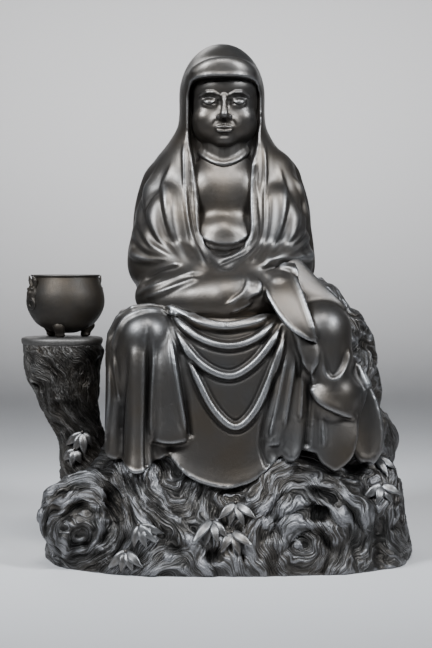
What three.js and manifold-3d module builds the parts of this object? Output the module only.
// A bronze monk in a hooded robe, seated on a gnarled rock with bamboo leaves,
// beside a tree stump that carries a small three-footed incense bowl.
// Millimetres, +Z up, the figure faces -Y, and the ground is z = 0.
import * as THREE from 'three';
import { mergeVertices } from 'three/addons/utils/BufferGeometryUtils.js';
import Module from 'manifold-3d';

const wasm = await Module();
wasm.setup();

// Driving sizes
const figureHeight = 509; // crown of the hood above the ground
const baseDepth = 256; // rock, front to back
const stumpLedge = 1.5; // stump top beyond the bowl's belly
const bowlRadius = 39; // widest part of the belly
const bowlHeight = 60; // underside of the feet to the middle of the rim
const bowlWall = 2.6;
const bowlFootHeight = 5.5;
const bowlFootRadius = 5.5;
const ringProud = 1.56; // the handles' rings stand this far off the belly
const bowlShift = 3.5; // the bowl stands this far to the right of the stump's middle
const bowlToRobe = 5; // clear gap between the stump and the robe
const leafLength = 23;
const leafWidth = 8.5;
const seatGap = 0.4; // clearance between the figure and the rock that carries it
const restGap = 0.3; // clearance under the bowl's feet

// The figure's pose and carving are shares of its height, and so is the stump beside it.
const share = figureHeight / 509;
const stumpHeight = 217 * share; // flat top of the stump above the ground
const robeReach = 107 * share; // from the middle plane to the robe's left edge
const stumpRadius = bowlRadius + stumpLedge;
const stumpX = -(robeReach + bowlToRobe + stumpRadius);
const stumpY = -15 * share;
const halfWidth = stumpRadius - stumpX; // the rock reaches as far right as the stump does left

// The rock's carving spreads with its width, its depth and the figure's height.
const wide = halfWidth / 193;
const deep = baseDepth / 256;
const onRock = ([x, y, z]) => [x * wide, y * deep, z * share];

// A closed geometry as a manifold solid, with shared vertices merged.
function solidOf(geometry) {
  const bare = geometry.clone();
  bare.deleteAttribute('normal');
  bare.deleteAttribute('uv');
  const merged = mergeVertices(bare, 1e-4);
  const position = merged.getAttribute('position');
  const corner = [new THREE.Vector3(), new THREE.Vector3(), new THREE.Vector3()];
  const faces = [];
  let volume = 0;
  for (let i = 0; i < merged.index.count; i += 3) {
    const face = [0, 1, 2].map((k) => merged.index.getX(i + k));
    if (new Set(face).size < 3) continue; // a sliver at a pole
    faces.push(face);
    face.forEach((vertex, k) => corner[k].fromBufferAttribute(position, vertex));
    volume += corner[0].dot(corner[1].cross(corner[2]));
  }
  if (volume < 0) faces.forEach((face) => face.reverse());
  return new wasm.Manifold(
    new wasm.Mesh({
      numProp: 3,
      vertProperties: new Float32Array(position.array),
      triVerts: new Uint32Array(faces.flat()),
    }),
  );
}

// The solid's faces, without the tiny voids that crossing folds can shut in.
function geometryOf(solid) {
  const { vertProperties, triVerts } = solid.getMesh();
  const parent = Array.from({ length: vertProperties.length / 3 }, (_, i) => i);
  const root = (i) => {
    while (parent[i] !== i) i = parent[i] = parent[parent[i]];
    return i;
  };
  for (let i = 0; i < triVerts.length; i += 3) {
    parent[root(triVerts[i])] = root(triVerts[i + 1]);
    parent[root(triVerts[i + 1])] = root(triVerts[i + 2]);
  }
  const sizes = new Map();
  triVerts.forEach((vertex) => sizes.set(root(vertex), (sizes.get(root(vertex)) ?? 0) + 1));
  const largest = Math.max(...sizes.values());
  const geometry = new THREE.BufferGeometry();
  geometry.setAttribute('position', new THREE.BufferAttribute(vertProperties, 3));
  geometry.setIndex([...triVerts].filter((vertex) => sizes.get(root(vertex)) === largest));
  return geometry;
}

const joined = (solids) => solids.reduce((sum, solid) => sum.add(solid));

// An ellipsoid with its poles up and down.
function lump([x, y, z], [rx, ry, rz], { grow = 0, sides = 12, rows = 8 } = {}) {
  const geometry = new THREE.SphereGeometry(1, sides, rows).rotateX(Math.PI / 2);
  geometry.scale(rx + grow, ry + grow, rz + grow);
  return solidOf(geometry.translate(x, y, z));
}

// A tapered limb with round ends, from a to b.
function limb(a, b, ra, rb, { grow = 0, sides = 10, arcs = 2 } = {}) {
  const start = new THREE.Vector3(...a);
  const along = new THREE.Vector3(...b).sub(start);
  const length = along.length();
  const profile = [];
  for (let i = 0; i <= arcs; i += 1) {
    const angle = (i / arcs) * (Math.PI / 2);
    profile.push(new THREE.Vector2((ra + grow) * Math.sin(angle), -(ra + grow) * Math.cos(angle)));
  }
  for (let i = 0; i <= arcs; i += 1) {
    const angle = (i / arcs) * (Math.PI / 2);
    const x = (rb + grow) * Math.cos(angle);
    profile.push(new THREE.Vector2(x, length + (rb + grow) * Math.sin(angle)));
  }
  profile[0].x = 0;
  profile[profile.length - 1].x = 0;
  const turn = new THREE.Quaternion().setFromUnitVectors(new THREE.Vector3(0, 1, 0), along.normalize());
  const geometry = new THREE.LatheGeometry(profile, sides).applyQuaternion(turn);
  return solidOf(geometry.translate(...a));
}

// Rings stacked up through stations [z, middle x, half width, front y, back y].
// The rings are superellipses, and ripple(angle, z) may draw their edge in.
function stack(stations, { grow = 0, sides = 32, rings = 10, power = 2.3, ripple = () => 1 } = {}) {
  const paths = [1, 2, 3, 4].map(
    (column) => new THREE.CatmullRomCurve3(
      stations.map((station) => new THREE.Vector3(station[0], station[column], 0)),
      false,
      'centripetal',
    ),
  );
  const profile = [new THREE.Vector2(0, 0)];
  for (let ring = 0; ring <= rings; ring += 1) profile.push(new THREE.Vector2(1, ring));
  profile.push(new THREE.Vector2(0, rings));
  const geometry = new THREE.LatheGeometry(profile, sides);
  const position = geometry.getAttribute('position');
  for (let i = 0; i < position.count; i += 1) {
    const row = i % profile.length;
    const ring = Math.min(Math.max(row - 1, 0), rings);
    const angle = (Math.floor(i / profile.length) / sides) * Math.PI * 2;
    const [middle, half, front, back] = paths.map((path) => path.getPoint(ring / rings).y);
    const first = stations[0][0] - grow;
    const last = stations[stations.length - 1][0] + grow;
    const inside = paths[0].getPoint(ring / rings).x;
    const z = ring === 0 ? first : ring === rings ? last : inside;
    const bend = (value) => Math.sign(value) * Math.abs(value) ** (2 / power);
    const reach = row === 0 || row === profile.length - 1 ? 0 : ripple(angle, z);
    const x = middle + (half + grow) * reach * bend(Math.cos(angle));
    const y = (front + back) / 2 + ((back - front) / 2 + grow) * reach * bend(Math.sin(angle));
    position.setXYZ(i, x, y, z);
  }
  return solidOf(geometry);
}

// A round roll of cloth or root along a curve through points.
function roll(points, radius, { grow = 0, sides = 4, steps = 8 } = {}) {
  const section = new THREE.Shape();
  for (let i = 0; i < sides; i += 1) {
    const angle = (i / sides) * Math.PI * 2;
    const x = (radius + grow) * Math.cos(angle);
    const y = (radius + grow) * Math.sin(angle);
    if (i === 0) section.moveTo(x, y);
    else section.lineTo(x, y);
  }
  const path = new THREE.CatmullRomCurve3(points.map((point) => new THREE.Vector3(...point)));
  return solidOf(new THREE.ExtrudeGeometry(section, { steps, extrudePath: path, bevelEnabled: false }));
}

// Where a level ray from the front meets a solid.
function surfaceFinder(solid) {
  const mesh = new THREE.Mesh(geometryOf(solid), new THREE.MeshBasicMaterial({ side: THREE.DoubleSide }));
  const far = baseDepth * 2;
  return (x, z) => {
    const ray = new THREE.Raycaster(new THREE.Vector3(x, -far, z), new THREE.Vector3(0, 1, 0));
    const hit = ray.intersectObject(mesh)[0];
    return hit ? hit.point.y : null;
  };
}

// A fold that lies on a solid: its [x, z] points are dropped onto the surface.
function fold(surface, points, radius, { sunk = 0.3, ...rest } = {}) {
  const curve = new THREE.CatmullRomCurve3(points.map(([x, z]) => new THREE.Vector3(x, 0, z)));
  const count = 5;
  const onSurface = [];
  for (let i = 0; i <= count; i += 1) {
    const { x, z } = curve.getPoint(i / count);
    const y = surface(x, z);
    if (y !== null) onSurface.push([x, y + radius * sunk, z]);
  }
  return roll(onSurface, radius, { steps: count + 1, ...rest });
}

// The figure: robe, hood, head, chest and lap, at the height of 509 mm.
// Every form may grow, which makes the cutter that clears the rock.
const middleX = 6; // the body's middle plane

// Long folds run down the sleeves and the back: the torso's edge waves with the
// angle, most at the elbows, and the front between the lapels stays smooth.
function torsoFolds(angle, z) {
  const folds = 11;
  const front = Math.max(0, -Math.sin(angle)) ** 4;
  const low = THREE.MathUtils.smoothstep(430 - z, 20, 110);
  return 1 + 0.032 * low * (1 - front) * Math.cos(folds * angle + (z - 300) * 0.004);
}

function robeForms(grow) {
  const torso = stack(
    [
      [195, 6, 84, -60, 92],
      [230, 6, 89, -66, 95],
      [268, 6, 92.5, -66, 94],
      [308, 6, 94, -50, 90],
      [353, 6, 85.5, -39, 82],
      [390, 6, 69, -35, 73],
      [408, 6, 55, -31, 66],
      [430, 6, 42, -26, 60],
    ],
    { grow, sides: 33, rings: 7, ripple: torsoFolds },
  );
  const skirt = stack(
    [
      [88, 24, 104, -96, 20],
      [112, 24, 116, -96, 40],
      [150, 22, 120, -90, 50],
      [200, 14, 113, -84, 70],
      [235, 10, 98, -74, 84],
      [252, 8, 78, -58, 80],
    ],
    { grow, sides: 20, rings: 5, power: 2.5 },
  );
  return [
    torso,
    skirt,
    limb([-28, 25, 220], [-69, -80, 221], 42, 30, { grow }), // thigh and knee
    limb([44, 25, 220], [100, -82, 227], 42, 28, { grow }),
    limb([-62, -8, 270], [0, -56, 263], 27, 22, { grow }), // sleeved forearms
    limb([74, -8, 270], [26, -56, 263], 27, 22, { grow }),
    lump([12, -62, 260], [38, 24, 22], { grow }), // joined hands under the cloth
    ...drapeForms(grow),
  ];
}

// Hanging drapes of the skirt: each ends below in a rounded lobe of the hem.
function drapeForms(grow) {
  const drapes = [
    [[-97, -62, 166], [10, 28, 66]],
    [[-74, -90, 166], [16, 23, 77]],
    [[-46, -88, 172], [19, 19, 58]],
    [[11, -82, 142], [51, 25, 63]],
    [[68, -86, 160], [15, 20, 62]],
    [[111, -82, 151], [18, 24, 58]],
    [[143, -42, 158], [15, 36, 54]],
    [[112, -88, 174], [25, 19, 31]],
  ];
  const kneePoint = limb([101, -80, 224], [110, -99, 186], 25, 6, { grow });
  const sleeveEnd = limb([56, -66, 272], [90, -92, 217], 13, 10, { grow });
  return [...drapes.map(([at, radii]) => lump(at, radii, { grow, sides: 9, rows: 6 })), kneePoint, sleeveEnd];
}

// The smooth inner core of rock that the robe hangs around.
function seatCore(grow) {
  return stack(
    [
      [0, 22, 92, -66, 60],
      [90, 22, 90, -64, 64],
      [180, 18, 74, -44, 66],
      [205, 14, 50, -24, 56],
    ],
    { grow, sides: 16, rings: 3, power: 2.2 },
  );
}

function hoodAndHead() {
  const hood = lump([middleX, 9, 455], [43.5, 53, 54], { sides: 16, rows: 9 });
  const hoodFall = stack(
    [
      [392, 6, 50, -32, 64],
      [410, 6, 46, -34, 62],
      [432, 6, 43.5, -38, 61],
      [456, 6, 42.5, -40, 60],
    ],
    { sides: 16, rings: 3 },
  );
  const brim = lump([middleX, -2, 482], [40, 40, 12], { sides: 14, rows: 6 });
  const faceOpening = lump([8, -46, 434], [34, 44, 43], { sides: 14, rows: 7 });
  const head = lump([8, 0, 440], [31.5, 37, 42], { sides: 14, rows: 9 });
  const jaw = lump([8, -8, 419], [26, 27, 21]);
  const nose = limb([8, -34, 446], [8, -41, 433], 2.6, 5, { sides: 6, arcs: 1 });
  const brows = [-1, 1].map((side) => roll(
    [[8 + side * 5, -36, 452], [8 + side * 13, -35, 457], [8 + side * 23, -26, 453]],
    2.6,
    { steps: 3, sides: 4 },
  ));
  const lips = lump([8, -35.5, 422], [8, 4, 2.8], { sides: 10, rows: 5 });
  const neck = limb([8, 4, 384], [8, 4, 412], 24, 21);
  const neckRing = lump([8, 2, 391], [26, 29, 6], { rows: 6 });
  return joined([
    joined([hood, hoodFall, brim]).subtract(faceOpening),
    head, jaw, nose, ...brows, lips, neck, neckRing,
  ]);
}

// The bare chest shows in a round-bottomed opening between the lapels.
function chestOpening() {
  const [left, right, low, high] = [-17, 34, 298, 402];
  const radius = (right - left) / 2;
  const outline = new THREE.Shape();
  outline.moveTo(left, high);
  outline.lineTo(left, low + radius);
  outline.absarc((left + right) / 2, low + radius, radius, Math.PI, Math.PI * 2, false);
  outline.lineTo(right, high);
  const options = { depth: 80, bevelEnabled: false, curveSegments: 10 };
  const geometry = new THREE.ExtrudeGeometry(outline, options).rotateX(Math.PI / 2);
  return solidOf(geometry.translate(0, -22, 0));
}

function chest() {
  return joined([
    lump([8, 12, 352], [40, 42, 44]),
    lump([-6, -2, 356], [20, 27, 20]), // breast
    lump([22, -2, 356], [20, 27, 20]),
    lump([8, 4, 316], [32, 37, 22]), // belly
  ]);
}

// Folds of the robe, as [x, z] points on the front, read from left to right.
function frontFolds(surface, grow) {
  const swagLeft = [-42, 246];
  const swagRight = [61, 240];
  const sags = [16, 36, 66, 112];
  const swags = sags.map((sag, i) => {
    const left = [swagLeft[0] - i, swagLeft[1] - i * 6];
    const right = [swagRight[0] + i * 3, swagRight[1] - i * 6];
    const hang = (t) => [
      left[0] + (right[0] - left[0]) * t,
      left[1] + (right[1] - left[1]) * t - (sag - i * 6) * 4 * t * (1 - t),
    ];
    return fold(surface, [0, 0.2, 0.4, 0.6, 0.8, 1].map(hang), 5, { grow });
  });
  const lapels = [
    [[-26, 396], [-26, 350], [-24, 322], [-12, 300], [6, 288]],
    [[43, 396], [44, 350], [43, 322], [32, 302], [-4, 288]],
  ].map((points) => fold(surface, points, 6.5, { grow }));
  const sleeves = [
    [[-92, 246], [-58, 253], [-20, 262]],
    [[58, 279], [84, 262], [112, 250]],
    [[60, 272], [72, 240], [96, 208]],
    [[62, 262], [70, 190], [54, 120]],
    [[66, 250], [88, 180], [84, 128]],
    [[-44, 232], [-34, 180], [-28, 122]],
    [[-62, 236], [-64, 180], [-62, 120]],
  ].map((points) => fold(surface, points, 4, { grow, sides: 4 }));
  return [...swags, ...lapels, ...sleeves];
}

function robe(grow) {
  const surface = surfaceFinder(joined(robeForms(0)));
  return joined([...robeForms(grow), ...frontFolds(surface, grow)]);
}

function figure() {
  const draped = robe(0);
  const dressed = draped.subtract(chestOpening()).add(chest()).add(hoodAndHead());
  return dressed.subtract(seatCore(0)).scale(share);
}

// Rock, burls, seat and stump
const rockMiddle = halfWidth * 0.065;

// A shallow scallop all round, none of it at the four outermost points.
const scallop = (angle) => 1 - 0.035 * Math.sin(2 * angle) ** 2 * (1 + Math.sin(9 * angle));

function rockForms() {
  const reach = halfWidth - rockMiddle;
  const depth = baseDepth / 2;
  const ring = (z, drift, width, front, back) => (
    [z * share, rockMiddle + drift * wide, reach * width, -depth * front, depth * back]
  );
  const boss = (at, radii, options) => lump(onRock(at), onRock(radii), options);
  const mound = stack(
    [
      ring(0, 0, 0.985, 0.97, 0.98),
      ring(16, 0, 1, 1, 1),
      ring(44, 2, 0.96, 0.93, 0.97),
      ring(74, 4, 0.88, 0.83, 0.93),
      ring(100, 8, 0.78, 0.7, 0.89),
      ring(130, 16, 0.7, 0.5, 0.85),
      ring(170, 30, 0.6, 0.2, 0.81),
      ring(205, 40, 0.44, -0.05, 0.72),
    ],
    { sides: 28, rings: 6, ripple: scallop },
  );
  return [
    mound,
    lump([66 * share, depth * 0.43, 165 * share], [104 * share, depth * 0.56, 113 * share]),
    boss([-122, -68, 43], [44, 46, 42], { sides: 13, rows: 7 }), // left burl
    boss([88, -84, 44], [66, 38, 50], { sides: 13, rows: 7 }), // right burl
    boss([150, -30, 50], [36, 60, 52], { rows: 6 }),
    boss([8, -92, 34], [60, 30, 40], { rows: 6 }),
  ];
}

function stump() {
  const top = stumpHeight;
  const slab = 13 * share; // smooth band under the top
  const bark = (angle, z) => (z > top - slab ? 1 : 1 - 0.05 * (1 + Math.sin(8 * angle + z * 0.03)));
  const ring = (z, drift, radius, forward = 0) => {
    const y = stumpY - forward * deep;
    return [z, stumpX + drift * wide, radius, y - radius, y + radius];
  };
  return stack(
    [
      ring(top * 0.23, 30, stumpRadius * 0.8, 4),
      ring(top * 0.4, 26, stumpRadius * 0.62, 4),
      ring(top * 0.52, 19, stumpRadius * 0.5, 2),
      ring(top * 0.64, 12, stumpRadius * 0.58),
      ring(top * 0.8, 4, stumpRadius * 0.8),
      ring(top * 0.93, 0, stumpRadius * 0.97),
      ring(top, 0, stumpRadius),
    ],
    { sides: 24, rings: 7, power: 2, ripple: bark },
  );
}

// Raised rings of old wood round each burl.
function burlRings() {
  const burls = [
    { at: [-122, -92, 44], radii: [34, 25] },
    { at: [92, -106, 48], radii: [50, 34] },
  ];
  const thickness = 4.5;
  return burls.flatMap(({ at, radii }) => radii.map((radius, i) => {
    const geometry = new THREE.TorusGeometry(radius, thickness, 4, 12).rotateX(Math.PI / 2);
    geometry.scale(wide, deep, 0.8 * share);
    return solidOf(geometry.translate(...onRock([at[0], at[1] + 8 - i * 12, at[2]])));
  }));
}

// Drooping bunches of bamboo leaves, [x, z] at each bunch's tip of the twig.
function leafBunches(surface) {
  const bunches = [
    { at: [-134, 122], fan: [-48, -16, 16, 46] },
    { at: [-140, 106], fan: [-30, 4, 34] },
    { at: [-72, 45], fan: [-12, 20, 46, 66] },
    { at: [-85, 20], fan: [-52, -18, 16, 44] },
    { at: [-4, 52], fan: [-40, -12, 18, 44] },
    { at: [18, 68], fan: [-50, -16, 18, 52] },
    { at: [14, 40], fan: [-34, 8, 42] },
    { at: [150, 106], fan: [10, 38] },
    { at: [156, 82], fan: [-44, -10, 22, 50] },
  ];
  return bunches.flatMap(({ at, fan }) => fan.map((degrees) => {
    const [x, z] = [at[0] * wide, at[1] * share];
    const lean = THREE.MathUtils.degToRad(degrees);
    const middle = [x + Math.sin(lean) * leafLength * 0.5, z - Math.cos(lean) * leafLength * 0.5];
    const y = surface(...middle);
    const geometry = new THREE.OctahedronGeometry(1);
    geometry.scale(leafWidth / 2, 2.4, leafLength / 2);
    geometry.rotateX(THREE.MathUtils.degToRad(-14)).rotateY(-lean);
    return solidOf(geometry.translate(middle[0], y - 1, middle[1]));
  }));
}

function rock() {
  const mass = joined([...rockForms(), stump(), ...burlRings()]);
  const surface = surfaceFinder(mass);
  const leafy = joined([mass, ...leafBunches(surface)]);
  const cutter = robe(seatGap / share).scale(share);
  const core = seatCore(-seatGap / share).scale(share);
  const ground = solidOf(new THREE.BoxGeometry(4 * halfWidth, 4 * baseDepth, 100).translate(0, 0, -50));
  return leafy.subtract(cutter).add(core).subtract(ground);
}

// The incense bowl: a turned, hollow belly on three feet, with two mask handles.
function bowl() {
  const foot = bowlFootHeight;
  const rimRadius = bowlRadius * 0.82;
  const outside = new THREE.SplineCurve([
    new THREE.Vector2(bowlRadius * 0.3, foot - 2),
    new THREE.Vector2(bowlRadius * 0.72, foot + (bowlHeight - foot) * 0.14),
    new THREE.Vector2(bowlRadius * 0.96, foot + (bowlHeight - foot) * 0.4),
    new THREE.Vector2(bowlRadius * 0.98, foot + (bowlHeight - foot) * 0.68),
    new THREE.Vector2(rimRadius, bowlHeight),
  ]);
  const outer = outside.getPoints(4);
  const inner = outer.map(({ x, y }, i) => {
    const lift = bowlWall * (1 - i / (outer.length - 1));
    return new THREE.Vector2(x - bowlWall, y + lift);
  }).reverse();
  const floor = inner[inner.length - 1].y;
  const profile = [new THREE.Vector2(0, outer[0].y), ...outer, ...inner, new THREE.Vector2(0, floor)];
  const belly = solidOf(new THREE.LatheGeometry(profile, 16).rotateX(Math.PI / 2));
  const feet = [-100, 20, 140].map((degrees) => {
    const angle = THREE.MathUtils.degToRad(degrees);
    const geometry = new THREE.CylinderGeometry(bowlFootRadius, bowlFootRadius * 0.8, foot + 5, 6);
    const radius = bowlRadius * 0.5;
    geometry.rotateX(Math.PI / 2);
    return solidOf(geometry.translate(radius * Math.cos(angle), radius * Math.sin(angle), (foot + 5) / 2));
  });
  const handles = [-143, 37].map((degrees) => {
    const mask = lump([bowlRadius * 0.95, 0, bowlHeight * 0.72], [5, 6, 7], { sides: 6, rows: 5 });
    const tip = [bowlRadius * 1.02, 0, bowlHeight];
    const horn = limb([bowlRadius * 0.93, 0, bowlHeight * 0.8], tip, 3, 1.2, { sides: 5, arcs: 1 });
    const curl = new THREE.TorusGeometry(4.6, 2, 4, 6).rotateY(Math.PI / 2);
    const snout = solidOf(curl.translate(bowlRadius * 0.96 + ringProud, 0, bowlHeight * 0.58));
    return joined([mask, horn, snout]).rotate([0, 0, degrees]);
  });
  const above = bowlHeight + 20;
  const hollow = [
    new THREE.Vector2(0, floor),
    ...inner.slice().reverse(),
    new THREE.Vector2(inner[0].x, above),
    new THREE.Vector2(0, above),
  ];
  const cavity = new THREE.LatheGeometry(hollow, 16).rotateX(Math.PI / 2);
  return joined([belly, ...feet, ...handles]).subtract(solidOf(cavity));
}

function bronze(color, roughness) {
  return new THREE.MeshStandardMaterial({ color, roughness, metalness: 0.9 });
}

const group = new THREE.Group();
const add = (name, solid, material, at = [0, 0, 0]) => {
  const mesh = new THREE.Mesh(geometryOf(solid), material);
  mesh.name = name;
  mesh.position.set(...at);
  group.add(mesh);
};
add('seated_monk', figure(), bronze(0x4a4039, 0.34));
add('rock_base', rock(), bronze(0x3a3733, 0.52));
add('incense_bowl', bowl(), bronze(0x4b4036, 0.45), [stumpX + bowlShift, stumpY, stumpHeight + restGap]);

export default group;
